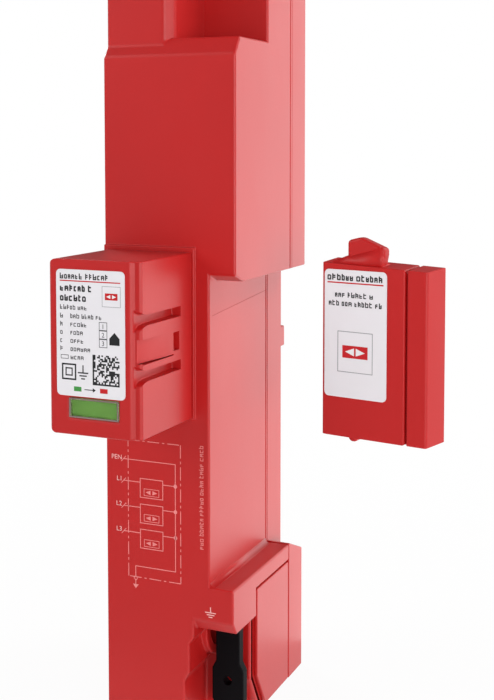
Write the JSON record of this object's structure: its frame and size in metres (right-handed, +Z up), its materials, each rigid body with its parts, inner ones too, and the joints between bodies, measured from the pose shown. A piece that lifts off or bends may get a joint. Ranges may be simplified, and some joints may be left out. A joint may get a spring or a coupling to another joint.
{
  "type": "din rail surge arrester",
  "caption": "Tall red combined surge arrester for a 35 mm rail, with a display module, a status window, an earth terminal and a taken-off cap.",
  "frame": {"origin": "centre line of the 35 mm rail on the housing's flat rear face, in the middle of the lower body's width", "axes": "+Z up along the housing, +Y out of the rear face towards the rail, -Y the front with the display module, +X to the right seen from the front"},
  "size_m": [0.095, 0.0843, 0.2825],
  "materials": {
    "housing_red": "fine moulded texture, satin",
    "module_red": "fine moulded texture, satin",
    "cap_red": "fine moulded texture, satin",
    "label_white": "printed foil, semi-matt",
    "window_clear": "clear moulded pane",
    "flag_green": "moulded, matt",
    "flag_red": "moulded, matt",
    "carrier_grey": "glass-filled moulding, matt",
    "varistor_blue": "dipped epoxy coat",
    "spring_bronze": "rolled strip",
    "ceramic": "glazed ceramic",
    "copper": "rolled copper, slightly tarnished",
    "clamp_brass": "milled, nickel-washed",
    "slide_black": "glass-filled moulding, matt black",
    "latch_black": "glass-filled moulding, matt black",
    "spring_steel": "drawn spring wire",
    "screw_steel": "zinc plated"
  },
  "bodies": {
    "housing": {"front_housing": "housing_red", "rear_housing": "housing_red", "module_housing": "module_red", "rating_label": "label_white", "window_lens": "window_clear", "flag_backplate": "flag_red", "module_chassis": "carrier_grey", "varistor": "varistor_blue", "trip_arm": "spring_bronze", "gap_carrier": "carrier_grey", "spark_gap_1": "ceramic", "spark_gap_2": "ceramic", "spark_gap_3": "ceramic", "phase_strap_1": "copper", "phase_strap_2": "copper", "phase_strap_3": "copper", "earth_bar": "copper", "clamp_body": "clamp_brass", "slide_spring": "spring_steel", "terminal_cover": "housing_red", "latch_spring": "spring_steel", "housing_screws": "screw_steel", "cap_shell": "cap_red", "cap_label": "label_white"},
    "flag": {"status_flag": "flag_green"},
    "slide": {"clamp_slide": "slide_black"},
    "latch": {"rail_latch": "latch_black"}
  },
  "joints": [
    {"name": "flag_rise", "type": "slide", "parent": "housing", "child": "flag", "axis": [0, 0, 1], "range_m": [0, 0.006]},
    {"name": "slide_pull", "type": "slide", "parent": "housing", "child": "slide", "axis": [0, 0, -1], "range_m": [0, 0.004], "stiffness_N_per_m": 400, "springref_m": -0.003, "deforming": ["slide_spring"]},
    {"name": "latch_pull", "type": "slide", "parent": "housing", "child": "latch", "axis": [0, 0, -1], "range_m": [0, 0.004], "stiffness_N_per_m": 1500, "springref_m": -0.003, "deforming": ["latch_spring"]}
  ]
}
